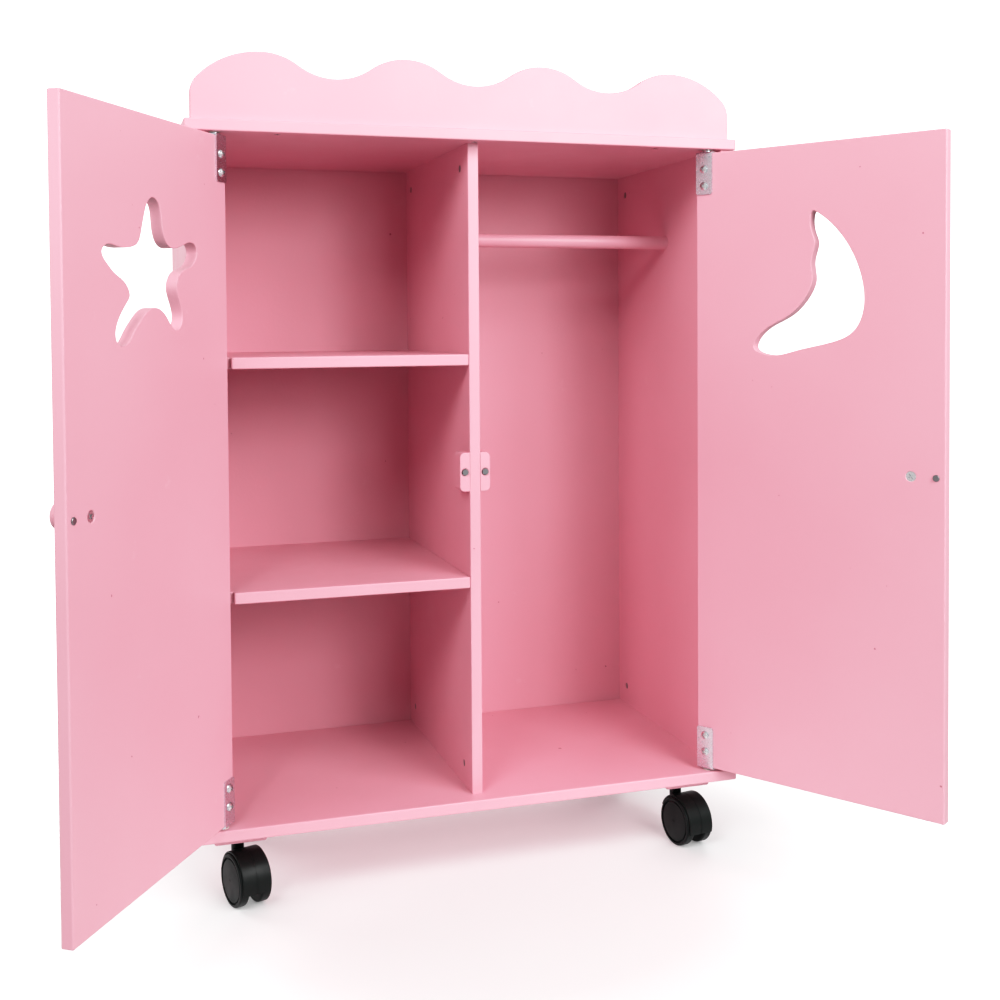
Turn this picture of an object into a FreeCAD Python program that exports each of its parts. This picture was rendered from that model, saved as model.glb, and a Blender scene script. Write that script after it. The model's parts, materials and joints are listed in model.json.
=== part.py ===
import FreeCAD, Part
import math
import os
import Sketcher
from FreeCAD import Rotation, Vector

# A doll's wardrobe of painted MDF: a carcass on four twin-wheel castors, two inset doors on pivot
# hinges, shelves on the left and a hanging rail on the right.
#
# Frame: +Z up, +X to the right seen from the front, -Y towards the person who opens the doors.
# The origin is on the floor under the middle of the wardrobe with its doors open as modelled.
# Carcass pieces are drawn from a datum: x on the centre plane, y at the front face of the divider
# and shelves, z at the top face of the bottom board.  place() moves that datum into the frame.

DRIVING = {
    # carcass
    "front": -14.75,          # y of the datum
    "deck": 69.0,             # z of the datum
    "board": 9.0,             # thickness of every MDF board
    "inner_width": 428.0,
    "inner_height": 526.0,
    "inner_depth": 205.0,
    "side_lead": 11.5,        # side panels' front edges ahead of the divider
    "cap_lead": 15.0,         # top and bottom boards' front edges ahead of the divider
    "cap_overhang": 4.0,      # top and bottom boards beyond the side panels
    "back_sheet": 3.0,
    "back_reveal": 1.0,
    "edge_round": 1.2,
    "corner_round": 2.0,
    # shelves and rail
    "upper_shelf_top": 357.0,
    "lower_shelf_top": 177.0,
    "notch_width": 21.0,
    "notch_depth": 5.5,
    "rail_width": 12.0,
    "rail_back": 96.0,
    "rail_height": 455.0,
    "rail_seat": 4.0,
    # crown board
    "crown_lead": 9.5,
    "crown_width": 444.0,
    "crown_pitch": 112.5,
    "crown_crest": 52.5,
    "crown_dip": 34.5,
    "crown_shoulder": 67.0,
    "crown_bend": 18.0,
    # doors
    "door_width": 210.75,
    "door_gap": 3.0,          # above and below a door
    "pivot_side": 204.0,      # pivot from the centre plane
    "pivot_lead": 7.0,        # pivot ahead of the divider
    "pivot_inset": 8.0,       # pivot from the door's hinge edge
    "open_angle": 123.0,      # how far the doors stand open
    "knob_along": 184.3,      # knob from the door's hinge edge
    "knob_sink": 8.8,         # countersink that the knob screw's smaller head sits deep in
    "strike_along": 203.6,
    "latch_height": 263.5,
    # pivot hinges
    "plate_width": 15.0,
    "plate_long": 34.5,
    "plate_sheet": 1.2,
    "pin_width": 4.0,
    "pin_fit": 0.05,          # radial clearance of a running fit
    "pin_deep": 6.0,
    "bush_width": 6.4,
    "bush_deep": 7.0,
    # magnetic catches
    "catch_wide": 8.2,
    "catch_deep": 17.0,
    "catch_high": 31.5,
    "catch_drop": 1.5,        # catches sit a little under the doors' strikes
    "magnet_width": 4.8,
    "magnet_rim": 6.6,        # width of the countersink round a magnet
    "magnet_proud": 1.1,
    "strike_proud": 1.0,
    # fixings
    "fixing_front": 23.0,     # front row of bolts behind the divider's front
    "fixing_back": 187.0,
    "fixing_in": 18.0,        # barrel nuts from the top and bottom boards
    "nut_width": 6.0,
    "nut_long": 8.0,
    "bolt_width": 3.2,
    "screw_width": 3.0,
    "nail_width": 1.2,
    # castors
    "castor_side": 190.0,
    "castor_front": 28.0,
    "castor_rear": 177.0,
    "pad_wide": 40.0,
    "pad_deep": 50.0,
    "wheel_radius": 20.0,
    "wheel_inner": 5.3,       # wheel faces from the castor's middle plane
    "wheel_outer": 13.5,
    "trail": 16.0,
    "hood_radius": 22.0,
    "hood_sheet": 1.3,
    "hood_half": 11.5,
    "neck_width": 10.0,
    "neck_gap": 19.8,         # neck's top below the datum
    "stem_width": 7.0,
    "axle_width": 4.0,
    "axle_long": 20.0,
}

doc = FreeCAD.newDocument("wardrobe")
sheet = doc.addObject("Spreadsheet::Sheet", "sheet")
for row, (alias, number) in enumerate(DRIVING.items(), start=1):
    sheet.set(f"A{row}", alias)
    sheet.set(f"B{row}", str(number))
    sheet.setAlias(f"B{row}", alias)
doc.recompute()

UP, DOWN = Vector(0, 0, 1), Vector(0, 0, -1)
LEFT, RIGHT = Vector(-1, 0, 0), Vector(1, 0, 0)
FORWARD, BACK = Vector(0, -1, 0), Vector(0, 1, 0)

# lengths worked out from the sheet
HALF = "(sheet.inner_width / 2)"
CAP_HALF = f"({HALF} + sheet.board + sheet.cap_overhang)"
SIDE_MIDDLE = f"({HALF} + sheet.board / 2)"
TOP = "sheet.inner_height"
DEPTH = "sheet.inner_depth"
FIXINGS = ("sheet.fixing_front", "sheet.fixing_back")
NUT_LEVELS = (f"({TOP} - sheet.fixing_in)", "sheet.fixing_in")
SHELF_TOPS = {"upper_shelf": "sheet.upper_shelf_top", "lower_shelf": "sheet.lower_shelf_top"}
SHELF_SCREWS = (40, 165)                # shelf screws behind the front
SCREW_LONG = 28
BOLT_LONG = 34
CROWN_SCREWS = (-157, 0, 157)
CROWN_SCREW_LEAD = "(sheet.crown_lead - sheet.board / 2)"
CASTORS = {
    "front_left": (-1, "sheet.castor_front", 17),
    "front_right": (1, "sheet.castor_front", 10),
    "rear_left": (-1, "sheet.castor_rear", 24),
    "rear_right": (1, "sheet.castor_rear", -14),
}
PAD_SCREW_X, PAD_SCREW_Y = 15, 18
PAD_BOTTOM = "(-2 * sheet.board)"
SOCKET_WIDTH = 10
SOCKET_HOLE = 7.5                       # socket's depth in the bottom board
CATCH_LEVEL = "(sheet.latch_height - sheet.catch_drop)"
PLATE_SCREWS = (13.5, 27.5)                 # hinge screws from the door's end

nodes = {}


def value(expression):
    """A number for an expression of the sheet's cells."""
    return float(sheet.evalExpression(str(expression)))


def bind(obj, **sizes):
    """Tie an object's properties to expressions."""
    for name, expression in sizes.items():
        obj.setExpression(name, str(expression))


def node(obj, name):
    """Name an object as one of the wardrobe's sub-parts."""
    obj.Label = name
    nodes[name] = obj
    return obj


def place(obj, x=0, y=0, z=0, turn=None):
    """Put an object at a point measured from the carcass datum."""
    if turn is not None:
        obj.Placement.Rotation = turn
    obj.setExpression("Placement.Base.x", f"{x}")
    obj.setExpression("Placement.Base.y", f"sheet.front + {y}")
    obj.setExpression("Placement.Base.z", f"sheet.deck + {z}")
    return obj


# ---------------------------------------------------------------- sketches and features

def new_sketch(body, role, offset=0):
    """A sketch on one of the body's own origin planes, moved along the plane's normal."""
    sketch = body.newObject("Sketcher::SketchObject", "sketch")
    plane = next(item for item in body.Origin.OriginFeatures if item.Role == role)
    sketch.AttachmentSupport = [(plane, "")]
    sketch.MapMode = "FlatFace"
    sketch.setExpression("AttachmentOffset.Base.z", f"{offset}")
    return sketch


def fix_point(sketch, geometry, point, x, y):
    """Hold a point of a sketch at two expressions."""
    for kind, expression in (("DistanceX", x), ("DistanceY", y)):
        number = value(expression)
        index = sketch.addConstraint(Sketcher.Constraint(kind, -1, 1, geometry, point, number))
        sketch.setExpression(f"Constraints[{index}]", f"{expression}")


def rectangle(sketch, left, low, right, high):
    """A rectangle whose two opposite corners are expressions."""
    x0, y0, x1, y1 = (value(item) for item in (left, low, right, high))
    corners = [Vector(x0, y0, 0), Vector(x1, y0, 0), Vector(x1, y1, 0), Vector(x0, y1, 0)]
    first = len(sketch.Geometry)
    for start, end in zip(corners, corners[1:] + corners[:1]):
        sketch.addGeometry(Part.LineSegment(start, end))
    for side in range(4):
        after = first + (side + 1) % 4
        sketch.addConstraint(Sketcher.Constraint("Coincident", first + side, 2, after, 1))
        level = "Vertical" if side % 2 else "Horizontal"
        sketch.addConstraint(Sketcher.Constraint(level, first + side))
    fix_point(sketch, first, 1, left, low)
    fix_point(sketch, first + 2, 1, right, high)


def circles(sketch, centres, radius):
    """Circles of one radius at points given as expressions."""
    for x, y in centres:
        centre = Vector(value(x), value(y), 0)
        index = sketch.addGeometry(Part.Circle(centre, UP, value(radius)))
        fix_point(sketch, index, 3, x, y)
        number = sketch.addConstraint(Sketcher.Constraint("Radius", index, value(radius)))
        sketch.setExpression(f"Constraints[{number}]", f"{radius}")


def draw(sketch, curves):
    """Plain curves that already meet end to end."""
    for curve in curves:
        sketch.addGeometry(curve)


def polygon(points):
    """Straight lines through points and back to the first."""
    corners = [Vector(x, y, 0) for x, y in points]
    return [Part.LineSegment(a, b) for a, b in zip(corners, corners[1:] + corners[:1])]


def dome(edge_radius, edge_height, top):
    """Three (radius, height) points of a spherical cap that meets the axis at `top`."""
    rise = top - edge_height
    ball = (edge_radius ** 2 + rise ** 2) / (2 * abs(rise))
    half = edge_radius / 2
    drop = ball - math.sqrt(ball ** 2 - half ** 2)
    return (edge_radius, edge_height), (half, top - math.copysign(drop, rise)), (0, top)


def pad(body, sketch, length, both_ways=False):
    """Extrude a sketch along its normal, or to both sides of it."""
    feature = body.newObject("PartDesign::Pad", "pad")
    feature.Profile = sketch
    bind(feature, Length=length)
    if both_ways:
        feature.SideType = "Symmetric"
    body.Tip = feature
    doc.recompute()
    return feature


def cut_check(body, feature, before):
    """A cut that misses its body is a mistake."""
    body.Tip = feature
    doc.recompute()
    if not feature.Shape.Volume < before - 1e-3:
        raise RuntimeError(f"{body.Label}: {feature.Label} removes nothing")
    return feature


def pocket(body, sketch, length, reverse=False, both_ways=False):
    """Cut a sketch against its normal, or along it when reversed."""
    before = body.Tip.Shape.Volume
    feature = body.newObject("PartDesign::Pocket", "pocket")
    feature.Profile = sketch
    bind(feature, Length=length)
    feature.Reversed = reverse
    if both_ways:
        feature.SideType = "Symmetric"
    return cut_check(body, feature, before)


def drill(body, role, offset, centres, width, deep, reverse=False, sink=None):
    """Round holes, countersunk to the width `sink` where that is given."""
    before = body.Tip.Shape.Volume
    sketch = new_sketch(body, role, offset)
    circles(sketch, centres, f"{width} / 2")
    doc.recompute()
    feature = body.newObject("PartDesign::Hole", "hole")
    feature.Profile = sketch
    doc.recompute()
    feature.DepthType = "Dimension"
    feature.DrillPoint = "Flat"
    feature.Reversed = reverse
    bind(feature, Diameter=width, Depth=deep)
    if sink is not None:
        feature.HoleCutType = "Countersink"
        feature.HoleCutCustomValues = True
        feature.HoleCutCountersinkAngle = 90
        bind(feature, HoleCutDiameter=sink)
    return cut_check(body, feature, before)


def revolve(body, sketch, axis="V_Axis"):
    """Turn a sketch once round one of its own axes."""
    feature = body.newObject("PartDesign::Revolution", "revolution")
    feature.Profile = sketch
    feature.ReferenceAxis = (sketch, [axis])
    feature.Angle = 360
    body.Tip = feature
    doc.recompute()
    return feature


def soften(body, radius, chosen):
    """Fillet the edges of the body's tip that `chosen` accepts."""
    base = body.Tip
    names = [f"Edge{n}" for n, edge in enumerate(base.Shape.Edges, start=1)
             if not edge.Degenerated and chosen(edge)]
    feature = body.newObject("PartDesign::Fillet", "fillet")
    feature.Base = (base, names)
    bind(feature, Radius=radius)
    body.Tip = feature
    doc.recompute()
    return feature


def runs_along(axis, at_least=0.0):
    """Test for straight edges along an axis."""
    def test(edge):
        if edge.Curve.TypeId != "Part::GeomLine" or edge.Length < at_least:
            return False
        return abs(abs(edge.Curve.Direction.dot(axis)) - 1) < 1e-6
    return test


def lies_at(edge, axis, level):
    """True for an edge that stays in the plane across an axis at a level."""
    first, last = edge.ParameterRange
    points = [edge.valueAt(first + (last - first) * step / 4) for step in range(5)]
    return all(abs(point.dot(axis) - level) < 1e-4 for point in points)


def body_of(name):
    """A new sub-part made by the PartDesign workbench."""
    return node(doc.addObject("PartDesign::Body", name), name)


def compound(name, master, spots):
    """A node of separate copies of one master: each spot is (x, y, z, direction, spin)."""
    copies = []
    for x, y, z, direction, spin in spots:
        link = doc.addObject("App::Link", f"{name}_copy")
        link.LinkedObject = master
        link.Placement.Rotation = Rotation(UP, direction) * Rotation(UP, spin)
        link.setExpression("Placement.Base.x", f"{x}")
        link.setExpression("Placement.Base.y", f"{y}")
        link.setExpression("Placement.Base.z", f"{z}")
        copies.append(link)
    group = doc.addObject("Part::Compound", name)
    group.Links = copies
    doc.recompute()
    return node(group, name)


# ---------------------------------------------------------------- masters of the fixings

def fastener(name, head_width, shank_width, length, head_high=None, hexagon=False):
    """A screw along Z, its head up.  It seats at z = 0: flush if countersunk, else with a pan head."""
    body = doc.addObject("PartDesign::Body", name)
    sketch = new_sketch(body, "XZ_Plane")
    head, shank = head_width / 2, shank_width / 2
    sink = 0 if head_high else head - shank
    tip = 0 if hexagon else 1.5 * shank
    outline = [Vector(shank, -sink, 0), Vector(shank, tip - length, 0)]
    if hexagon:
        outline += [Vector(0, -length, 0)]
    else:
        outline += [Vector(0.2, -length, 0), Vector(0, -length, 0)]
    if head_high:
        flank, over, crown = (Vector(x, y, 0) for x, y in dome(head * 0.94, head_high * 0.45, head_high))
        shoulder = Vector(head, 0, 0)
        curves = [Part.Arc(crown, over, flank), Part.LineSegment(flank, shoulder),
                  Part.LineSegment(shoulder, outline[0])]
    else:
        crown = Vector(0, 0, 0)
        rim = Vector(head, 0, 0)
        curves = [Part.LineSegment(crown, rim), Part.LineSegment(rim, outline[0])]
    curves += [Part.LineSegment(a, b) for a, b in zip(outline, outline[1:])]
    curves.append(Part.LineSegment(outline[-1], crown))
    draw(sketch, curves)
    revolve(body, sketch)
    recess = new_sketch(body, "XY_Plane", head_high or 0)
    if hexagon:
        ring = [(1.25 * math.cos(math.radians(a)), 1.25 * math.sin(math.radians(a)))
                for a in range(0, 360, 60)]
        draw(recess, polygon(ring))
    else:
        arm, slot = head * 0.58, head * 0.13
        cross = [(arm, slot), (slot, slot), (slot, arm)]
        ring = [(x * a - y * b, x * b + y * a) for a, b in ((1, 0), (0, 1), (-1, 0), (0, -1))
                for x, y in cross]
        draw(recess, polygon(ring))
    pocket(body, recess, 1.3)
    return body


wood_screw = fastener("wood_screw", 6.0, 3.0, SCREW_LONG)
knob_screw = fastener("knob_machine_screw", 7.8, 3.2, 20.0)
hinge_screw = fastener("hinge_pan_screw", 6.9, 3.0, 8.0, head_high=2.0)
pad_screw = fastener("pad_pan_screw", 5.6, 3.0, 14.0, head_high=1.9)
bolt = fastener("barrel_bolt", 6.8, 3.2, BOLT_LONG, hexagon=True)


def make_nut():
    """A barrel nut along Z, its slotted end up at z = 0, its cross hole along X."""
    body = doc.addObject("PartDesign::Body", "barrel_nut")
    sketch = new_sketch(body, "XY_Plane", "-sheet.nut_long")
    circles(sketch, [(0, 0)], "sheet.nut_width / 2")
    pad(body, sketch, "sheet.nut_long - 0.4")
    drill(body, "YZ_Plane", "sheet.nut_width", [(0, "-sheet.board / 2")], "sheet.bolt_width",
          "2 * sheet.nut_width")
    slot = new_sketch(body, "XY_Plane", 0)
    rectangle(slot, "-sheet.nut_width", -0.5, "sheet.nut_width", 0.5)
    pocket(body, slot, 1.4)
    return body


def make_nail():
    """A panel nail along Z, its head up, seated at z = 0."""
    body = doc.addObject("PartDesign::Body", "panel_nail")
    sketch = new_sketch(body, "XZ_Plane")
    outline = [(0, 0.6), (1.1, 0.6), (1.5, 0.2), (1.5, 0), (0.6, 0), (0.6, -12), (0.1, -13.5), (0, -13.5)]
    draw(sketch, polygon(outline))
    revolve(body, sketch)
    return body


barrel_nut = make_nut()
panel_nail = make_nail()


# ---------------------------------------------------------------- carcass

def cap_board(name, level, outer, inner):
    """Top or bottom board.  `outer` and `inner` are the levels of its faces."""
    body = body_of(name)
    sketch = new_sketch(body, "XY_Plane", level)
    rectangle(sketch, f"-{CAP_HALF}", "-sheet.cap_lead", CAP_HALF, DEPTH)
    pad(body, sketch, "sheet.board")
    soften(body, "sheet.corner_round", runs_along(UP))
    back = value(DEPTH)
    soften(body, "sheet.edge_round", lambda edge: edge.BoundBox.ZLength < 1e-6
           and edge.BoundBox.YMin < back - value("sheet.corner_round") - 1e-3)
    reverse = value(outer) < value(inner)
    bolts = [(f"{side} * {SIDE_MIDDLE}", y) for side in (-1, 0, 1) for y in FIXINGS]
    drill(body, "XY_Plane", outer, bolts, "sheet.bolt_width", "sheet.board", reverse, sink=6.8)
    bushes = [(f"{side} * sheet.pivot_side", "-sheet.pivot_lead") for side in (-1, 1)]
    drill(body, "XY_Plane", inner, bushes, "sheet.bush_width", "sheet.bush_deep", not reverse)
    place(body)
    return body


top_board = cap_board("top_board", TOP, f"({TOP} + sheet.board)", TOP)
crown_spots = [(x, f"-{CROWN_SCREW_LEAD}") for x in CROWN_SCREWS]
drill(top_board, "XY_Plane", TOP, crown_spots, "sheet.screw_width", "sheet.board", True, sink=6.0)

bottom_board = cap_board("bottom_board", "-sheet.board", "-sheet.board", 0)
castor_spots = [(f"{side} * sheet.castor_side", y) for side, y, _ in CASTORS.values()]
drill(bottom_board, "XY_Plane", "-sheet.board", castor_spots, SOCKET_WIDTH, SOCKET_HOLE, True)
pad_screw_spots = [(f"{x} + {dx}", f"{y} + {dy}") for x, y in castor_spots
                   for dx in (-PAD_SCREW_X, PAD_SCREW_X) for dy in (-PAD_SCREW_Y, PAD_SCREW_Y)]
drill(bottom_board, "XY_Plane", "-sheet.board", pad_screw_spots, "sheet.screw_width", 5, True)


def upright(name, x, front, nut_face, nut_from_left):
    """Side panel or divider: x is its left face, nut_face the face that the nuts go in from."""
    body = body_of(name)
    sketch = new_sketch(body, "YZ_Plane", x)
    rectangle(sketch, front, 0, DEPTH, TOP)
    pad(body, sketch, "sheet.board")
    first = value(front)
    soften(body, 0.8, lambda edge: runs_along(UP)(edge) and abs(edge.BoundBox.YMin - first) < 1e-3)
    middle = f"({x} + sheet.board / 2)"
    holes = [(middle, y) for y in FIXINGS]
    drill(body, "XY_Plane", TOP, holes, "sheet.bolt_width", BOLT_LONG)
    drill(body, "XY_Plane", 0, holes, "sheet.bolt_width", BOLT_LONG, True)
    nuts = [(y, level) for y in FIXINGS for level in NUT_LEVELS]
    drill(body, "YZ_Plane", nut_face, nuts, "sheet.nut_width", "sheet.nut_long", nut_from_left)
    place(body)
    return body


SHELF_MIDDLES = [f"({top} - sheet.board / 2)" for top in SHELF_TOPS.values()]
shelf_screw_spots = [(y, level) for level in SHELF_MIDDLES for y in SHELF_SCREWS]
rail_spot = [("sheet.rail_back", "sheet.rail_height")]

left_panel = upright("left_side_panel", f"(-{HALF} - sheet.board)", "-sheet.side_lead", f"-{HALF}", False)
drill(left_panel, "YZ_Plane", f"(-{HALF} - sheet.board)", shelf_screw_spots, "sheet.screw_width",
      "sheet.board", True, sink=6.0)
right_panel = upright("right_side_panel", HALF, "-sheet.side_lead", HALF, True)
drill(right_panel, "YZ_Plane", HALF, rail_spot, "sheet.rail_width", "sheet.rail_seat", True)
divider = upright("divider", "(-sheet.board / 2)", 0, "(-sheet.board / 2)", True)
drill(divider, "YZ_Plane", "(sheet.board / 2)", rail_spot, "sheet.rail_width", "sheet.rail_seat")
drill(divider, "YZ_Plane", "(sheet.board / 2)", shelf_screw_spots, "sheet.screw_width",
      "sheet.board", False, sink=6.0)

for shelf_name, shelf_top in SHELF_TOPS.items():
    shelf = body_of(shelf_name)
    outline = new_sketch(shelf, "XY_Plane", f"({shelf_top} - sheet.board)")
    rectangle(outline, f"-{HALF}", 0, "-sheet.board / 2", DEPTH)
    pad(shelf, outline, "sheet.board")
    notch = new_sketch(shelf, "XY_Plane", shelf_top)
    rectangle(notch, f"(-{HALF} - 5)", -5, f"(-{HALF} + sheet.notch_width)", "sheet.notch_depth")
    pocket(shelf, notch, "sheet.board")
    front_corners = (value(f"-{HALF} + sheet.notch_width"), value("-sheet.board / 2"))
    soften(shelf, 1.5, lambda edge: runs_along(UP)(edge) and edge.BoundBox.YMax < 1e-3
           and min(abs(edge.BoundBox.XMin - x) for x in front_corners) < 1e-3)
    soften(shelf, 1.0, lambda edge: edge.BoundBox.ZLength < 1e-6
           and edge.BoundBox.YMax < value("sheet.notch_depth") + 1e-3)
    ends = [(y, f"({shelf_top} - sheet.board / 2)") for y in SHELF_SCREWS]
    deep = SCREW_LONG - value("sheet.board")
    drill(shelf, "YZ_Plane", f"-{HALF}", ends, "sheet.screw_width", deep, True)
    drill(shelf, "YZ_Plane", "-sheet.board / 2", ends, "sheet.screw_width", deep)
    place(shelf)

back_panel = body_of("back_panel")
outline = new_sketch(back_panel, "XZ_Plane", f"(-{DEPTH} - sheet.back_sheet)")
edge_out = f"({HALF} + sheet.board - sheet.back_reveal)"
rectangle(outline, f"-{edge_out}", "(-sheet.board + sheet.back_reveal)", edge_out,
          f"({TOP} + sheet.board - sheet.back_reveal)")
pad(back_panel, outline, "sheet.back_sheet")
place(back_panel)

rail = node(doc.addObject("Part::Cylinder", "hanging_rail"), "hanging_rail")
bind(rail, Radius="sheet.rail_width / 2", Height=f"{HALF} - sheet.board / 2 + 2 * sheet.rail_seat")
place(rail, "(sheet.board / 2 - sheet.rail_seat)", "sheet.rail_back", "sheet.rail_height",
      Rotation(UP, RIGHT))


def crown_outline():
    """Tangent arcs: five scallops, then half a scallop and a broad shoulder at each end."""
    half, pitch = value("sheet.crown_width / 2"), value("sheet.crown_pitch")
    crest, dip = value("sheet.crown_crest"), value("sheet.crown_dip")
    swing, step = (crest - dip) / 2, pitch / 4
    scallop = (step ** 2 + swing ** 2) / (2 * swing)
    broad, bend = value("sheet.crown_shoulder"), value("sheet.crown_bend")

    def arc(x, y, radius, start, end):
        circle = Part.Circle(Vector(x, y, 0), UP, radius)
        return Part.ArcOfCircle(circle, min(start, end), max(start, end))

    slope = math.asin(step / scallop)
    curves = []
    for number in (-2, -1, 0, 1, 2):
        if number % 2:
            middle = arc(2 * number * step, crest - scallop, scallop,
                         math.pi / 2 - slope, math.pi / 2 + slope)
        else:
            middle = arc(2 * number * step, dip + scallop, scallop,
                         -math.pi / 2 - slope, -math.pi / 2 + slope)
        curves.append(middle)
    peak = 6 * step
    run = half - bend - peak
    rise = math.sqrt((broad - bend) ** 2 - run ** 2)
    meet = math.atan2(rise, run)
    low = crest - broad + rise
    for side in (1, -1):
        def turned(angle):
            return angle if side > 0 else math.pi - angle
        curves.append(arc(side * peak, crest - scallop, scallop,
                          turned(math.pi / 2), turned(math.pi / 2 + slope)))
        curves.append(arc(side * peak, crest - broad, broad, turned(meet), turned(math.pi / 2)))
        curves.append(arc(side * (half - bend), low, bend, turned(0), turned(meet)))
        curves.append(Part.LineSegment(Vector(side * half, 0, 0), Vector(side * half, low, 0)))
    curves.append(Part.LineSegment(Vector(-half, 0, 0), Vector(half, 0, 0)))
    return curves


crown = body_of("crown_board")
outline = new_sketch(crown, "XZ_Plane", "(sheet.crown_lead - sheet.board)")
draw(outline, crown_outline())
pad(crown, outline, "sheet.board")
crown_faces = [-value("sheet.crown_lead"), value("sheet.board - sheet.crown_lead")]
soften(crown, "sheet.edge_round", lambda edge: edge.CenterOfMass.z > 1
       and any(lies_at(edge, BACK, level) for level in crown_faces))
crown_pilot = SCREW_LONG - value("sheet.board")
drill(crown, "XY_Plane", 0, crown_spots, "sheet.screw_width", crown_pilot, True)
place(crown, z=f"({TOP} + sheet.board)")


# ---------------------------------------------------------------- catches on the divider

for side, name in ((-1, "left_catch_block"), (1, "right_catch_block")):
    block = body_of(name)
    outline = new_sketch(block, "XZ_Plane")
    inner, outer = f"{side} * sheet.board / 2", f"{side} * (sheet.board / 2 + sheet.catch_wide)"
    rectangle(outline, inner, "-sheet.catch_high / 2", outer, "sheet.catch_high / 2")
    pad(block, outline, "sheet.catch_deep")
    reach = value("sheet.board / 2 + sheet.catch_wide")
    soften(block, 4.0, lambda edge: runs_along(BACK)(edge)
           and abs(abs(edge.BoundBox.XMax) - reach) < 1e-3)
    soften(block, 0.6, lambda edge: edge.BoundBox.YMax < -value("sheet.catch_deep") + 1e-3
           and edge.BoundBox.YLength < 1e-6 and not (edge.BoundBox.XLength < 1e-6
           and abs(edge.BoundBox.XMax) < value("sheet.board / 2") + 1e-3))
    magnet_x = f"{side} * (sheet.pivot_side - sheet.strike_along + sheet.pivot_inset)"
    drill(block, "XZ_Plane", "sheet.catch_deep", [(magnet_x, 0)], "sheet.magnet_width", 5,
          sink="sheet.magnet_rim")
    place(block, y="sheet.catch_deep", z=CATCH_LEVEL)

magnets = []
for side in (-1, 1):
    magnet = doc.addObject("Part::Cylinder", "magnet")
    bind(magnet, Radius="sheet.magnet_width / 2", Height="5 + sheet.magnet_proud")
    place(magnet, f"{side} * (sheet.pivot_side - sheet.strike_along + sheet.pivot_inset)", 5,
          CATCH_LEVEL, Rotation(UP, FORWARD))
    magnets.append(magnet)
magnet_pair = node(doc.addObject("Part::Compound", "catch_magnets"), "catch_magnets")
magnet_pair.Links = magnets


# ---------------------------------------------------------------- fixings of the carcass

UPRIGHTS = (f"(-{SIDE_MIDDLE})", "0", SIDE_MIDDLE)
NUT_FACES = ((f"(-{HALF})", RIGHT), ("(-sheet.board / 2)", LEFT), (HALF, LEFT))

for name, level, direction in (("top_board_bolts", f"({TOP} + sheet.board)", UP),
                               ("bottom_board_bolts", "(-sheet.board)", DOWN)):
    place(compound(name, bolt, [(x, y, level, direction, 0) for x in UPRIGHTS for y in FIXINGS]))
place(compound("barrel_nuts", barrel_nut, [(x, y, level, direction, 0) for x, direction in NUT_FACES
                                           for y in FIXINGS for level in NUT_LEVELS]))
shelf_spots = [(f"(-{HALF} - sheet.board)", y, level, LEFT, 17 * number)
               for number, (y, level) in enumerate(shelf_screw_spots)]
shelf_spots += [("(sheet.board / 2)", y, level, RIGHT, 23 * number)
                for number, (y, level) in enumerate(shelf_screw_spots)]
place(compound("shelf_screws", wood_screw, shelf_spots))
place(compound("crown_screws", wood_screw, [(x, y, TOP, DOWN, 31 * number)
                                            for number, (x, y) in enumerate(crown_spots)]))

nail_spots = [(x, level) for x in (-150, 0, 150) for level in (f"({TOP} + sheet.board / 2)",
                                                               "(-sheet.board / 2)")]
nail_spots += [(x, level) for x in (UPRIGHTS[0], UPRIGHTS[2]) for level in (80, 260, 440)]
nail_spots += [(0, level) for level in (120, 400)]
drill(back_panel, "XZ_Plane", f"(-{DEPTH} - sheet.back_sheet)", nail_spots, "sheet.nail_width",
      "sheet.back_sheet", True)
place(compound("back_panel_nails", panel_nail, [(x, f"({DEPTH} + sheet.back_sheet)", level, BACK, 0)
                                                for x, level in nail_spots]))


def turned(name, profile):
    """A master turned round Z from straight lines through (radius, height) points."""
    body = doc.addObject("PartDesign::Body", name)
    sketch = new_sketch(body, "XZ_Plane")
    draw(sketch, polygon([(value(radius), value(height)) for radius, height in profile]))
    revolve(body, sketch)
    return body


BORE = "sheet.pin_width / 2 + sheet.pin_fit"
bush = turned("hinge_bush", [(BORE, 0.5), (4, 0.5), (4, 0), ("sheet.bush_width / 2", 0),
                             ("sheet.bush_width / 2", "-sheet.bush_deep"),
                             (BORE, "-sheet.bush_deep")])
pivots = [f"({side} * sheet.pivot_side)" for side in (-1, 1)]
place(compound("hinge_bushes", bush, [(x, "(-sheet.pivot_lead)", level, direction, 0)
                                      for x in pivots for level, direction in ((0, UP), (TOP, DOWN))]))


# ---------------------------------------------------------------- doors

# points of the star's smooth outline as (from the hinge edge, height), from its top arm's tip
STAR = ((108.6, 466.9), (104.8, 467.7), (97.6, 463.7), (94.2, 451.3), (88.6, 438.5), (84.3, 436),
        (66.6, 437.5), (54.5, 440.4), (49, 439.4), (45.7, 435.7), (52.7, 424.3), (69.8, 417.9),
        (75.3, 408.4), (72.6, 400.2), (67.6, 387.1), (70, 381.1), (76.2, 378.2), (87.1, 385.9),
        (98.5, 392.9), (109.6, 392.8), (122.4, 385.2), (132.2, 376.4), (138.8, 370.1), (150.1, 369.4),
        (153.2, 375.5), (151.1, 382.7), (138.9, 396.5), (135.6, 401), (137.1, 405.5), (153.4, 415.4),
        (161.1, 420.6), (167.5, 428.9), (164.6, 431.9), (151.4, 432.5), (132.1, 433.1), (125.2, 435.8),
        (119.4, 447.3), (116.8, 454.5))
# points of the crescent moon's smooth outline, from its upper tip down the outer side
MOON = ((106.5, 468.8), (116.8, 461.5), (129, 448.5), (139.5, 431), (146.2, 410), (146.5, 390),
        (138.5, 373.5), (122, 365.3), (92, 358.5), (64.3, 354.7), (53.5, 360.5), (57, 369),
        (82.8, 385.2), (99.5, 401.5), (104.8, 415), (103.7, 429), (106.8, 443.5), (102.9, 459.5))


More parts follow.
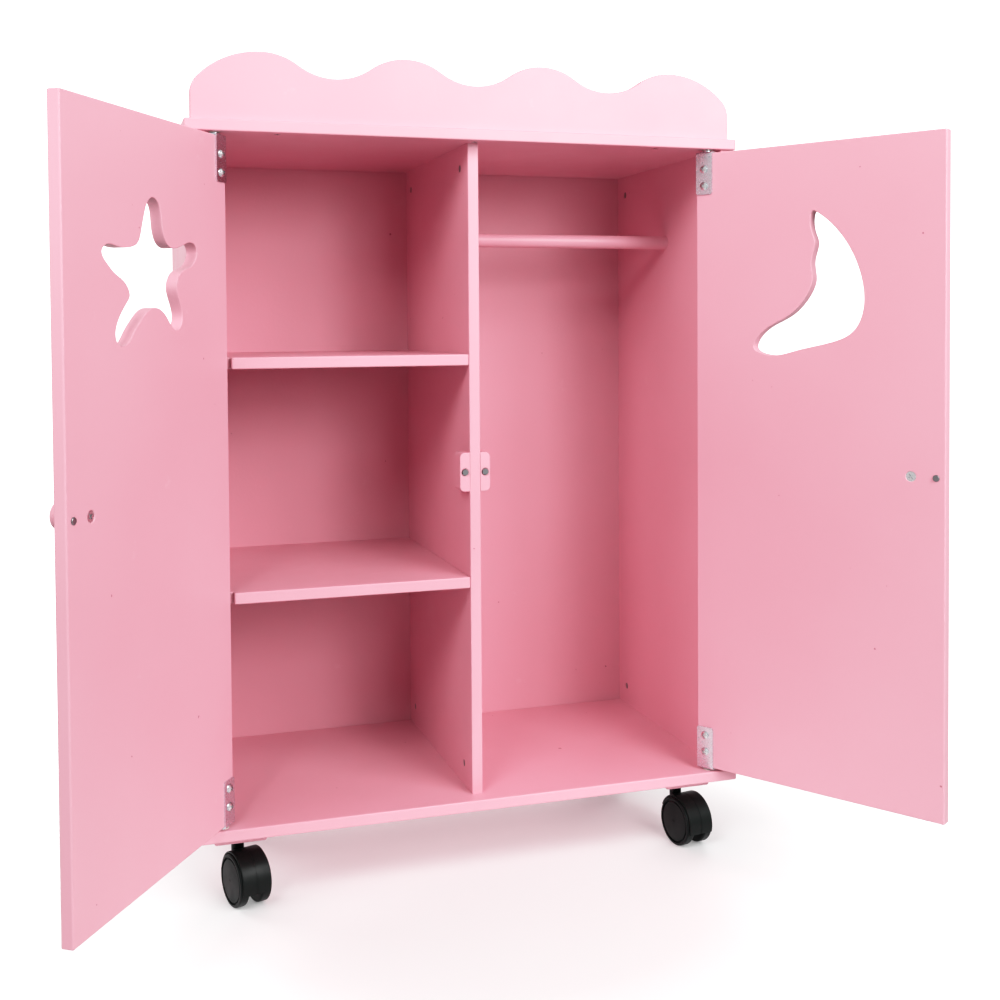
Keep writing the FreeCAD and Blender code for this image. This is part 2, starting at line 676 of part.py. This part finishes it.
def along(side, distance):
    """A distance from a door's hinge edge as x in the door's own frame, which is at its pivot."""
    return f"({-side} * ({distance} - sheet.pivot_inset))"


def smooth(side, points):
    """A closed smooth curve through points of a door."""
    curve = Part.BSplineCurve()
    curve.interpolate(Points=[Vector(value(along(side, x)), y, 0) for x, y in points], PeriodicFlag=True)
    return [curve]


def hang(obj, side):
    """Put a door's piece on its pivot, opened as modelled."""
    place(obj, f"{side} * sheet.pivot_side", "-sheet.pivot_lead", 0,
          Rotation(UP, side * value("sheet.open_angle")))


INNER_FACE = "(-sheet.board / 2)"       # on planes that face forward


def make_door(side, name, opening):
    door = body_of(name)
    outline = new_sketch(door, "XZ_Plane")
    rectangle(outline, along(side, 0), "sheet.door_gap", along(side, "sheet.door_width"),
              f"({TOP} - sheet.door_gap)")
    pad(door, outline, "sheet.board", both_ways=True)
    soften(door, "sheet.corner_round / 2", runs_along(BACK))
    faces = (value("sheet.board / 2"), value("-sheet.board / 2"))
    soften(door, "sheet.edge_round", lambda edge: any(lies_at(edge, BACK, level) for level in faces))
    ends = [(0, f"(sheet.door_gap + {far})") for far in PLATE_SCREWS]
    ends += [(0, f"({TOP} - sheet.door_gap - {far})") for far in PLATE_SCREWS]
    drill(door, "XZ_Plane", INNER_FACE, ends, "sheet.screw_width", 7, True)
    knob_spot = [(along(side, "sheet.knob_along"), "sheet.latch_height")]
    drill(door, "XZ_Plane", INNER_FACE, knob_spot, "sheet.bolt_width", "sheet.board", True,
          sink="sheet.knob_sink")
    strike_spot = [(along(side, "sheet.strike_along"), "sheet.latch_height")]
    drill(door, "XZ_Plane", INNER_FACE, strike_spot, "sheet.screw_width", 6, True)
    cut = new_sketch(door, "XZ_Plane")
    draw(cut, smooth(side, opening))
    pocket(door, cut, "sheet.board", both_ways=True)
    edges = value("sheet.door_width")
    soften(door, 0.6, lambda edge: any(lies_at(edge, BACK, level) for level in faces)
           and 20 < abs(edge.CenterOfMass.x) < edges - 20 and 350 < edge.CenterOfMass.z < 490)
    hang(door, side)


def make_plate(side, name, top):
    """A pivot hinge's plate, bent over the door's end, in the door's frame."""
    plate = body_of(name)
    face = value("sheet.board / 2")
    back, tab = value("sheet.board / 2 + sheet.plate_sheet"), value("sheet.door_gap - sheet.plate_sheet")
    gap, far, bend = value("sheet.door_gap"), value("sheet.door_gap + sheet.plate_long"), 1.6
    sink = bend - bend / math.sqrt(2)
    height, sign = (value(TOP), -1) if top else (0, 1)

    def point(y, z):
        return Vector(y, height + sign * z, 0)

    corner = Part.Arc(point(back, tab + bend), point(back - sink, tab + sink), point(back - bend, tab))
    rest = [point(back - bend, tab), point(-face + 0.5, tab), point(-face + 0.5, gap), point(face, gap),
            point(face, far), point(back, far), point(back, tab + bend)]
    profile = new_sketch(plate, "YZ_Plane")
    draw(profile, [corner] + [Part.LineSegment(a, b) for a, b in zip(rest, rest[1:])])
    pad(plate, profile, "sheet.plate_width", both_ways=True)
    soften(plate, 2.0, lambda edge: runs_along(BACK)(edge)
           and abs(edge.CenterOfMass.z - height - sign * far) < 1e-3)
    soften(plate, 2.5, lambda edge: runs_along(UP)(edge) and edge.CenterOfMass.y < 0)
    spots = [(0, height + sign * (gap + screw)) for screw in PLATE_SCREWS]
    drill(plate, "XZ_Plane", f"({INNER_FACE} - sheet.plate_sheet)", spots, "sheet.screw_width",
          "sheet.plate_sheet", True)
    drill(plate, "XY_Plane", height + sign * tab, [(0, 0)], 2.6, "sheet.plate_sheet", not top)
    hang(plate, side)


def make_knob(side, name):
    """A turned knob on the outer face, with a bore for its screw."""
    knob = body_of(name)
    shift = value(along(side, "sheet.knob_along"))
    face, bore = -value("sheet.board / 2"), value("sheet.bolt_width / 2")
    sketch = new_sketch(knob, "XY_Plane", "sheet.latch_height")
    sketch.setExpression("AttachmentOffset.Base.x", along(side, "sheet.knob_along"))
    foot, neck, rim = (5.8, 0), (4.8, -3.6), (9.2, -10.2)
    cap, over, tip = dome(8.4, -15.2, -18.2)

    def point(spot):
        return Vector(spot[0], face + spot[1], 0)

    curves = [Part.LineSegment(point((bore, 0)), point(foot)),
              Part.Arc(point(foot), point((5.1, -2.0)), point(neck)),
              Part.Arc(point(neck), point((6.3, -6.6)), point(rim)),
              Part.Arc(point(rim), point((9.4, -12.8)), point(cap)),
              Part.Arc(point(cap), point(over), point(tip)),
              Part.LineSegment(point(tip), point((0, -12))),
              Part.LineSegment(point((0, -12)), point((bore, -12))),
              Part.LineSegment(point((bore, -12)), point((bore, 0)))]
    draw(sketch, curves)
    revolve(knob, sketch)
    soften(knob, 1.2, lambda edge: edge.Curve.TypeId == "Part::GeomCircle"
           and abs(edge.Curve.Radius - rim[0]) < 1e-3 and abs(edge.CenterOfMass.x - shift) < 1e-3)
    hang(knob, side)


PIN_TIP = "sheet.door_gap - sheet.plate_sheet + sheet.pin_deep"
pin = turned("hinge_pin", [(0, "-sheet.plate_sheet"), (1.3, "-sheet.plate_sheet"), (1.3, 0), (3.1, 0),
                           (3.1, 0.9), ("sheet.pin_width / 2", 0.9),
                           ("sheet.pin_width / 2", f"{PIN_TIP} - 0.6"),
                           ("sheet.pin_width / 2 - 0.6", PIN_TIP), (0, PIN_TIP)])
strike = turned("strike_nail", [(0, "sheet.strike_proud"), (2.2, "sheet.strike_proud"),
                                (2.5, "sheet.strike_proud - 0.3"), (2.5, 0), (1.5, 0), (1.5, -6), (0, -6)])

for side, hand, opening in ((-1, "left", STAR), (1, "right", MOON)):
    make_door(side, f"{hand}_door", opening)
    make_plate(side, f"{hand}_top_hinge_plate", True)
    make_plate(side, f"{hand}_bottom_hinge_plate", False)
    make_knob(side, f"{hand}_knob")
    low_tab = "(sheet.door_gap - sheet.plate_sheet)"
    pins = [(0, 0, low_tab, DOWN, 0), (0, 0, f"({TOP} - {low_tab})", UP, 0)]
    hang(compound(f"{hand}_hinge_pins", pin, pins), side)
    seat = "(sheet.board / 2 + sheet.plate_sheet)"
    screws = [(0, seat, f"(sheet.door_gap + {far})", BACK, 20 + 3 * far) for far in PLATE_SCREWS]
    screws += [(0, seat, f"({TOP} - sheet.door_gap - {far})", BACK, 5 * far) for far in PLATE_SCREWS]
    hang(compound(f"{hand}_hinge_screws", hinge_screw, screws), side)
    inner = "(sheet.board / 2)"
    hang(compound(f"{hand}_knob_screw", knob_screw,
                  [(along(side, "sheet.knob_along"), f"({inner} - 0.5)", "sheet.latch_height", BACK, 35)]),
         side)
    hang(compound(f"{hand}_strike_pin", strike,
                  [(along(side, "sheet.strike_along"), inner, "sheet.latch_height", BACK, 0)]), side)


# ---------------------------------------------------------------- castors

def make_pad():
    """The block between a castor and the bottom board, its top at z = 0."""
    body = doc.addObject("PartDesign::Body", "castor_pad")
    sketch = new_sketch(body, "XY_Plane", "-sheet.board")
    wide, deep = "sheet.pad_wide / 2", "sheet.pad_deep / 2"
    rectangle(sketch, f"-{wide}", f"-{deep}", wide, deep)
    pad(body, sketch, "sheet.board")
    soften(body, "sheet.corner_round", runs_along(UP))
    soften(body, "sheet.edge_round", lambda edge: lies_at(edge, UP, -value("sheet.board")))
    drill(body, "XY_Plane", 0, [(0, 0)], SOCKET_WIDTH, "sheet.board")
    spots = [(dx, dy) for dx in (-PAD_SCREW_X, PAD_SCREW_X) for dy in (-PAD_SCREW_Y, PAD_SCREW_Y)]
    drill(body, "XY_Plane", 0, spots, "sheet.screw_width", "sheet.board")
    return body


STEM_BORE = "sheet.stem_width / 2 + sheet.pin_fit"
socket = turned("castor_socket", [(STEM_BORE, 1.2), (7, 1.2), (7, 0), (SOCKET_WIDTH / 2, 0),
                                  (SOCKET_WIDTH / 2, f"-sheet.board - {SOCKET_HOLE}"),
                                  (STEM_BORE, f"-sheet.board - {SOCKET_HOLE}")])
place(compound("castor_plates", make_pad(), [(x, y, "(-sheet.board)", UP, 0) for x, y in castor_spots]))
place(compound("castor_sockets", socket, [(x, y, PAD_BOTTOM, DOWN, 0) for x, y in castor_spots]))
place(compound("castor_plate_screws", pad_screw, [(x, y, PAD_BOTTOM, DOWN, 37 * number)
                                                  for number, (x, y) in enumerate(pad_screw_spots)]))


def sector(inner, outer, start, end):
    """A band between two radii round the wheel axis, in the plane across the axle."""
    centre = Vector(-value("sheet.trail"), value("sheet.wheel_radius"), 0)
    start, end = math.radians(start), math.radians(end)

    def spot(radius, angle):
        return centre + Vector(radius * math.cos(angle), radius * math.sin(angle), 0)

    return [Part.ArcOfCircle(Part.Circle(centre, UP, outer), start, end),
            Part.LineSegment(spot(outer, end), spot(inner, end)),
            Part.ArcOfCircle(Part.Circle(centre, UP, inner), start, end),
            Part.LineSegment(spot(inner, start), spot(outer, start))]


WEB_LOW = 5.6                           # web's lower edge under the axle
WEB_HALF = 3
NECK_TOP = "(sheet.deck - sheet.neck_gap)"
STEM_GRIP = 22


def make_hood(name):
    """The castor's body: a guard over both wheels, a web between them, and the swivel's neck."""
    body = body_of(name)
    outer = value("sheet.hood_radius")
    guard = new_sketch(body, "YZ_Plane")
    draw(guard, sector(value("sheet.hood_radius - sheet.hood_sheet"), outer, 25, 195))
    pad(body, guard, "2 * sheet.hood_half", both_ways=True)
    half = value("sheet.hood_half")
    soften(body, 0.7, lambda edge: edge.Curve.TypeId == "Part::GeomCircle"
           and abs(edge.Curve.Radius - outer) < 1e-3 and abs(abs(edge.CenterOfMass.x) - half) < 1e-3)
    web = new_sketch(body, "YZ_Plane")
    radius = outer - value("sheet.hood_sheet") / 2
    centre = Vector(-value("sheet.trail"), value("sheet.wheel_radius"), 0)
    dip = math.asin(WEB_LOW / radius)
    reach = math.sqrt(radius ** 2 - WEB_LOW ** 2)
    draw(web, [Part.ArcOfCircle(Part.Circle(centre, UP, radius), -dip, math.pi + dip),
               Part.LineSegment(centre + Vector(-reach, -WEB_LOW, 0), centre + Vector(reach, -WEB_LOW, 0))])
    pad(body, web, 2 * WEB_HALF, both_ways=True)
    neck_foot = f"(sheet.wheel_radius - {WEB_LOW})"
    neck = new_sketch(body, "XY_Plane", neck_foot)
    circles(neck, [(0, 0)], "sheet.neck_width / 2")
    pad(body, neck, f"{NECK_TOP} - {neck_foot}")
    drill(body, "YZ_Plane", WEB_HALF, [("-sheet.trail", "sheet.wheel_radius")], "sheet.axle_width",
          2 * WEB_HALF)
    drill(body, "XY_Plane", NECK_TOP, [(0, 0)], "sheet.stem_width", STEM_GRIP)
    seam = new_sketch(body, "YZ_Plane")
    draw(seam, sector(outer - 0.3, outer + 0.5, 64, 196))
    pocket(body, seam, 0.5, both_ways=True)
    return body


def make_axle(name):
    body = body_of(name)
    sketch = new_sketch(body, "YZ_Plane")
    circles(sketch, [("-sheet.trail", "sheet.wheel_radius")], "sheet.axle_width / 2")
    pad(body, sketch, "sheet.axle_long", both_ways=True)
    return body


def make_stem(name):
    body = body_of(name)
    low = f"({NECK_TOP} - {STEM_GRIP})"
    sketch = new_sketch(body, "XY_Plane", low)
    circles(sketch, [(0, 0)], "sheet.stem_width / 2")
    pad(body, sketch, f"sheet.deck - 2.2 - {low}")
    soften(body, 1.0, lambda edge: lies_at(edge, UP, value("sheet.deck - 2.2")))
    return body


def make_wheel(name, hand):
    """One wheel: tread, rounded rims and a slightly domed closed outer face."""
    body = body_of(name)
    sketch = new_sketch(body, "XY_Plane", "sheet.wheel_radius")
    sketch.setExpression("AttachmentOffset.Base.y", "-sheet.trail")
    inner, outer = value("sheet.wheel_inner"), value("sheet.wheel_outer")
    tread, rim, bore = value("sheet.wheel_radius"), 1.4, value(BORE)

    def point(x, y):
        return Vector(hand * x, y, 0)

    end = value("sheet.axle_long / 2") + 0.4
    lip = outer - 0.5
    ring = [point(lip, tread - rim), point(lip, tread - rim - 0.9), point(lip - 1.2, tread - rim - 1.2),
            point(lip - 1.2, tread - rim - 1.9), point(lip - 0.2, tread - rim - 2.5)]
    bulge = [point(x, y) for y, x in dome(tread - rim - 2.5, lip - 0.2, outer)]
    hub = [point(outer, 0), point(end, 0), point(end, bore), point(inner, bore),
           point(inner, tread - rim)]
    sink = rim - rim / math.sqrt(2)
    curves = [Part.Arc(hub[-1], point(inner + sink, tread - sink), point(inner + rim, tread)),
              Part.LineSegment(point(inner + rim, tread), point(lip - rim, tread)),
              Part.Arc(point(lip - rim, tread), point(lip - sink, tread - sink), ring[0]),
              Part.Arc(*bulge)]
    for row in (ring, hub):
        curves += [Part.LineSegment(a, b) for a, b in zip(row, row[1:])]
    draw(sketch, curves)
    revolve(body, sketch, "H_Axis")
    return body


for corner, (side, y, angle) in CASTORS.items():
    pieces = [make_hood(f"{corner}_castor_hood"), make_stem(f"{corner}_castor_stem"),
              make_axle(f"{corner}_castor_axle"), make_wheel(f"{corner}_castor_left_wheel", -1),
              make_wheel(f"{corner}_castor_right_wheel", 1)]
    for piece in pieces:
        place(piece, f"{side} * sheet.castor_side", y, "-sheet.deck", Rotation(UP, angle))


# ---------------------------------------------------------------- check and write

doc.recompute()
for obj in doc.Objects:
    if {"Invalid", "Error"} & set(obj.State):
        raise RuntimeError(f"{obj.Label}: {obj.State}")
os.makedirs("parts", exist_ok=True)
for name, obj in nodes.items():
    shape = obj.Shape
    if shape.isNull() or not shape.isValid() or not shape.Solids:
        raise RuntimeError(f"{name} has no valid shape")
    shape.exportStep(f"parts/{name}.step")
whole = Part.makeCompound([obj.Shape for obj in nodes.values()]).BoundBox
print(len(nodes), "nodes", [round(item, 2) for item in (whole.XMin, whole.XMax, whole.YMin, whole.YMax,
                                                         whole.ZMin, whole.ZMax)])
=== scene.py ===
import json
import math

import bpy
from mathutils import Matrix, Vector

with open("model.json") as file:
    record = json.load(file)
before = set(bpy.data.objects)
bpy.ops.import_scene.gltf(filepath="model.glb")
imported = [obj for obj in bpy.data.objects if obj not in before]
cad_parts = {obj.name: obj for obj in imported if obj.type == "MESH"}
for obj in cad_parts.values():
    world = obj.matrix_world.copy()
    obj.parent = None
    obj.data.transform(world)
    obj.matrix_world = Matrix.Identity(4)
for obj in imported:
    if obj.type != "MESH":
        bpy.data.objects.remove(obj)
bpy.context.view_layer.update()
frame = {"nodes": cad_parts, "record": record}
NODES = frame["nodes"]


# ---------------------------------------------------------------- node helpers

def new_material(name):
    """An empty node material with its output and a Principled shader."""
    material = bpy.data.materials.new(name)
    material.use_nodes = True
    tree = material.node_tree
    tree.nodes.clear()
    output = tree.nodes.new("ShaderNodeOutputMaterial")
    shader = tree.nodes.new("ShaderNodeBsdfPrincipled")
    tree.links.new(shader.outputs["BSDF"], output.inputs["Surface"])
    return material, tree, shader


def add(tree, kind, **settings):
    """A node whose attributes or input values are given by name."""
    node = tree.nodes.new(kind)
    for name, value in settings.items():
        if hasattr(node, name):
            setattr(node, name, value)
        else:
            node.inputs[name.replace("_", " ")].default_value = value
    return node


def object_place(tree):
    """Object coordinates in metres."""
    return add(tree, "ShaderNodeTexCoord").outputs["Object"]


def noise(tree, vector, scale, detail=3.0, roughness=0.5):
    """Noise with this many cells per metre, around 0.5."""
    node = add(tree, "ShaderNodeTexNoise", Scale=scale, Detail=detail, Roughness=roughness)
    tree.links.new(vector, node.inputs["Vector"])
    return node.outputs["Fac"]


def remap(tree, value, low, high, to_low, to_high):
    """The range from low to high stretched to another range, and held at its ends."""
    node = add(tree, "ShaderNodeMapRange", From_Min=low, From_Max=high, To_Min=to_low, To_Max=to_high)
    tree.links.new(value, node.inputs["Value"])
    return node.outputs["Result"]


def mix_colour(tree, factor, first, second):
    """Blend two colours, or a socket and a colour, by a factor socket."""
    node = add(tree, "ShaderNodeMix", data_type="RGBA")
    tree.links.new(factor, node.inputs["Factor"])
    for name, colour in (("A", first), ("B", second)):
        socket = next(s for s in node.inputs if s.name == name and s.type == "RGBA")
        if isinstance(colour, bpy.types.NodeSocket):
            tree.links.new(colour, socket)
        else:
            socket.default_value = (*colour, 1)
    return next(s for s in node.outputs if s.type == "RGBA")


def bump(tree, shader, heights):
    """Stack bumps, each (height socket, strength, distance in metres), into the shader's normal."""
    normal = None
    for height, strength, distance in heights:
        node = add(tree, "ShaderNodeBump", Strength=strength, Distance=distance)
        tree.links.new(height, node.inputs["Height"])
        if normal is not None:
            tree.links.new(normal, node.inputs["Normal"])
        normal = node.outputs["Normal"]
    tree.links.new(normal, shader.inputs["Normal"])


def linear(*channels):
    """A colour as the shader wants it, from 0 to 255 display values, by the sRGB curve."""
    values = (channel / 255 for channel in channels)
    return tuple(value / 12.92 if value <= 0.04045 else ((value + 0.055) / 1.055) ** 2.4
                 for value in values)


# ---------------------------------------------------------------- materials

# The lacquer's colours, and how strongly its pale rubs and dark specks show.
PINK = linear(234, 174, 188)
PINK_DEEP = linear(231, 169, 183)
PINK_WORN = linear(246, 205, 214)
SPECK = linear(176, 96, 112)
RUB_STRENGTH = 0.5
SPECK_STRENGTH = 0.8
LACQUER_IOR = 1.45

# Bump distances in metres: orange peel, the finer peel on it, and the grain of metal and nylon.
PEEL_DEPTH = 0.0005
FINE_PEEL_DEPTH = 0.0002
GRAIN_DEPTH = 0.0001

# How much plating dulls, how much dust lightens nylon, and nylon's specular level.
DULLED = 0.93
DUST_LIFT = 0.04
NYLON_SPECULAR = 0.22


def painted(name, peel=1.0, rough=0.38):
    """Sprayed satin lacquer: slow colour drift, orange peel, pale rubs and a few dark specks."""
    material, tree, shader = new_material(name)
    where = object_place(tree)
    drift = remap(tree, noise(tree, where, scale=5.0, detail=2.0), 0.35, 0.65, 0.0, 1.0)
    body = mix_colour(tree, drift, PINK_DEEP, PINK)
    rubs = remap(tree, noise(tree, where, scale=34.0, detail=6.0, roughness=0.7),
                 0.66, 0.86, 0.0, RUB_STRENGTH)
    body = mix_colour(tree, rubs, body, PINK_WORN)
    specks = remap(tree, noise(tree, where, scale=170.0, detail=1.0), 0.815, 0.84, 0.0, SPECK_STRENGTH)
    tree.links.new(mix_colour(tree, specks, body, SPECK), shader.inputs["Base Color"])
    cloud = noise(tree, where, scale=22.0, detail=4.0, roughness=0.6)
    tree.links.new(remap(tree, cloud, 0.3, 0.7, rough - 0.05, rough + 0.07), shader.inputs["Roughness"])
    shader.inputs["IOR"].default_value = LACQUER_IOR
    bump(tree, shader, [(noise(tree, where, scale=330.0, detail=2.0), 0.10 * peel, PEEL_DEPTH),
                        (noise(tree, where, scale=1500.0, detail=2.0), 0.06 * peel, FINE_PEEL_DEPTH)])
    return material


def plated(name, colour, rough, grain_strength=0.08):
    """Zinc or nickel plate: faint mottling, cloudy roughness and a fine grain."""
    material, tree, shader = new_material(name)
    where = object_place(tree)
    shade = remap(tree, noise(tree, where, scale=300.0, detail=4.0, roughness=0.6), 0.3, 0.7, 0.0, 1.0)
    dull = tuple(channel * DULLED for channel in colour)
    tree.links.new(mix_colour(tree, shade, colour, dull), shader.inputs["Base Color"])
    shader.inputs["Metallic"].default_value = 1.0
    grain = noise(tree, where, scale=900.0)
    tree.links.new(remap(tree, grain, 0.3, 0.7, rough - 0.04, rough + 0.06), shader.inputs["Roughness"])
    bump(tree, shader, [(grain, grain_strength, GRAIN_DEPTH)])
    return material


def moulded(name, colour, rough, scuffed=0.0):
    """Moulded nylon: a spark-eroded grain, slow sheen changes and, where it rolls, dusty scuffs."""
    material, tree, shader = new_material(name)
    where = object_place(tree)
    pale = tuple(channel + DUST_LIFT for channel in colour)
    dust = remap(tree, noise(tree, where, scale=140.0, detail=5.0, roughness=0.65),
                 0.52, 0.75, 0.0, scuffed)
    tree.links.new(mix_colour(tree, dust, colour, pale), shader.inputs["Base Color"])
    shader.inputs["Specular IOR Level"].default_value = NYLON_SPECULAR
    cloud = noise(tree, where, scale=90.0)
    tree.links.new(remap(tree, cloud, 0.3, 0.7, rough - 0.06, rough + 0.08), shader.inputs["Roughness"])
    bump(tree, shader, [(noise(tree, where, scale=2200.0, detail=2.0), 0.12, GRAIN_DEPTH)])
    return material


FINISH = {
    "painted_mdf": painted("pink_lacquer_on_mdf"),
    "painted_hardboard": painted("pink_lacquer_on_hardboard", peel=1.6, rough=0.42),
    "painted_turning": painted("pink_lacquer_on_beech", peel=0.7, rough=0.33),
    "zinc_plate": plated("zinc_plate", (0.74, 0.76, 0.80), 0.24, grain_strength=0.012),
    "screw_steel": plated("zinc_screw", (0.70, 0.71, 0.72), 0.24, grain_strength=0.03),
    "nut_steel": plated("dull_zinc", (0.40, 0.38, 0.37), 0.42),
    # The nickel's colour is set far darker than bright nickel: painted shade standing in for the dark
    # surroundings it reflects.
    "magnet_nickel": plated("nickel", (0.26, 0.26, 0.27), 0.35),
    "black_nylon": moulded("black_nylon", linear(14, 19, 18), 0.38),
    "wheel_nylon": moulded("wheel_nylon", linear(12, 17, 17), 0.42, scuffed=0.12),
    "white_nylon": moulded("white_nylon", linear(226, 222, 212), 0.4),
}

for part in frame["record"]["subparts"]:
    node = NODES[part["node"]]
    node.data.materials.clear()
    node.data.materials.append(FINISH[part["material_slot"]])


# ---------------------------------------------------------------- stage, light and camera

# The floor: its reach in metres, its tone, its own faint glow, and where it fades away, in metres.
FLOOR_REACH = 30.0
FLOOR_TONE = 0.75
FLOOR_GLOW = 0.15
FADE_START = 0.2
FADE_END = 0.6


def make_floor():
    """A pale studio floor that fades into the white of the studio away from the wardrobe."""
    mesh = bpy.data.meshes.new("floor")
    corners = [(x * FLOOR_REACH, y * FLOOR_REACH, 0) for x, y in ((-1, -1), (1, -1), (1, 1), (-1, 1))]
    mesh.from_pydata(corners, [], [(0, 1, 2, 3)])
    floor = bpy.data.objects.new("floor", mesh)
    bpy.context.scene.collection.objects.link(floor)
    material, tree, shader = new_material("pale_floor")
    where = object_place(tree)
    tint = noise(tree, where, scale=3.0)
    tree.links.new(mix_colour(tree, tint, (FLOOR_TONE,) * 3, (FLOOR_TONE + 0.02,) * 3),
                   shader.inputs["Base Color"])
    shader.inputs["Roughness"].default_value = 0.8
    shader.inputs["Emission Color"].default_value = (1, 1, 1, 1)
    shader.inputs["Emission Strength"].default_value = FLOOR_GLOW
    clear = add(tree, "ShaderNodeBsdfTransparent")
    reach = add(tree, "ShaderNodeVectorMath", operation="LENGTH")
    tree.links.new(where, reach.inputs[0])
    fade = remap(tree, reach.outputs["Value"], FADE_START, FADE_END, 0.0, 1.0)
    blend = add(tree, "ShaderNodeMixShader")
    tree.links.new(fade, blend.inputs["Fac"])
    tree.links.new(shader.outputs["BSDF"], blend.inputs[1])
    tree.links.new(clear.outputs["BSDF"], blend.inputs[2])
    output = next(node for node in tree.nodes if node.type == "OUTPUT_MATERIAL")
    tree.links.new(blend.outputs["Shader"], output.inputs["Surface"])
    mesh.materials.append(material)


# Soft boxes: name, place, side of the square, power in watts, and whether gloss shows them.
SOFT_BOXES = (
    ("key_right", (0.75, -1.25, 1.15), 1.0, 20.0, True),
    ("key_front", (0.4, -1.7, 0.8), 0.6, 9.5, False),
    ("key_left", (-0.95, -1.1, 1.4), 0.7, 14.0, False),
    ("key_side", (-1.8, -0.5, 0.9), 0.9, 12.0, False),
    ("rear_fill_left", (-1.5, 1.7, 1.1), 1.2, 26.0, False),
    ("rear_fill_right", (1.5, 1.7, 1.1), 1.2, 26.0, False),
)
SOFT_BOX_TARGET = Vector((0, 0, 0.45))

# How bright the studio's white walls are: as light, in gloss, and behind the wardrobe.
WALL_LIGHT = 0.03
WALL_GLOSS = 0.7
WALL_WHITE = 2.0


def soft_box(name, place, size, power, mirrored):
    """A square soft box that faces the upper middle of the wardrobe."""
    data = bpy.data.lights.new(name, "AREA")
    data.shape = "SQUARE"
    data.size = size
    data.energy = power
    lamp = bpy.data.objects.new(name, data)
    lamp.location = place
    lamp.visible_glossy = mirrored
    lamp.rotation_euler = (SOFT_BOX_TARGET - lamp.location).to_track_quat("-Z", "Y").to_euler()
    bpy.context.scene.collection.objects.link(lamp)


def make_light():
    """A white studio whose walls look bright but light the wardrobe faintly, and its soft boxes."""
    world = bpy.data.worlds.new("studio")
    world.use_nodes = True
    tree = world.node_tree
    background = tree.nodes["Background"]
    background.inputs["Color"].default_value = (1, 1, 1, 1)
    seen = add(tree, "ShaderNodeLightPath")
    in_gloss = remap(tree, seen.outputs["Is Glossy Ray"], 0.0, 1.0, WALL_LIGHT, WALL_GLOSS)
    behind = remap(tree, seen.outputs["Is Camera Ray"], 0.0, 1.0, 0.0, WALL_WHITE)
    either = add(tree, "ShaderNodeMath", operation="MAXIMUM")
    tree.links.new(in_gloss, either.inputs[0])
    tree.links.new(behind, either.inputs[1])
    tree.links.new(either.outputs["Value"], background.inputs["Strength"])
    bpy.context.scene.world = world
    for settings in SOFT_BOXES:
        soft_box(*settings)


# The camera: its place in metres, its turn in radians, and its lens on a 36 mm sensor.
CAMERA_PLACE = (-0.2956, -0.98785, 0.4486)
YAW = -0.2974
PITCH = -0.0304
ROLL = 0.0072
SENSOR_WIDTH = 36.0
FOCAL_LENGTH = 45.548
SHIFT = (0.0224, -0.1355)
NEAREST = 0.01


def make_camera():
    """A view from the left of the middle, a little above half the wardrobe's height."""
    data = bpy.data.cameras.new("camera")
    data.sensor_width = SENSOR_WIDTH
    data.lens = FOCAL_LENGTH
    data.shift_x, data.shift_y = SHIFT
    data.clip_start = NEAREST
    camera = bpy.data.objects.new("camera", data)
    turn = (Matrix.Rotation(YAW, 4, "Z") @ Matrix.Rotation(PITCH, 4, "X")
            @ Matrix.Rotation(ROLL, 4, "Y") @ Matrix.Rotation(math.pi / 2, 4, "X"))
    camera.matrix_world = Matrix.Translation(CAMERA_PLACE) @ turn
    bpy.context.scene.collection.objects.link(camera)
    bpy.context.scene.camera = camera


# The print's shoulder: brightness in the scene and brightness shown, up to the brightest white.
SHOULDER = ((0.25, 0.25), (0.5, 0.5), (0.75, 0.695), (1.0, 0.815), (1.25, 0.905))
BRIGHTEST = 1.6


def set_tone():
    """A contrasty print with a soft shoulder, so that bright paint keeps its colour."""
    view = bpy.context.scene.view_settings
    view.view_transform = "Standard"
    view.look = "Medium High Contrast"
    view.use_curve_mapping = True
    tone = view.curve_mapping
    tone.extend = "HORIZONTAL"
    tone.white_level = (BRIGHTEST,) * 3
    for bright, shown in SHOULDER:
        tone.curves[3].points.new(bright / BRIGHTEST, shown)
    tone.update()


make_floor()
make_light()
make_camera()
set_tone()
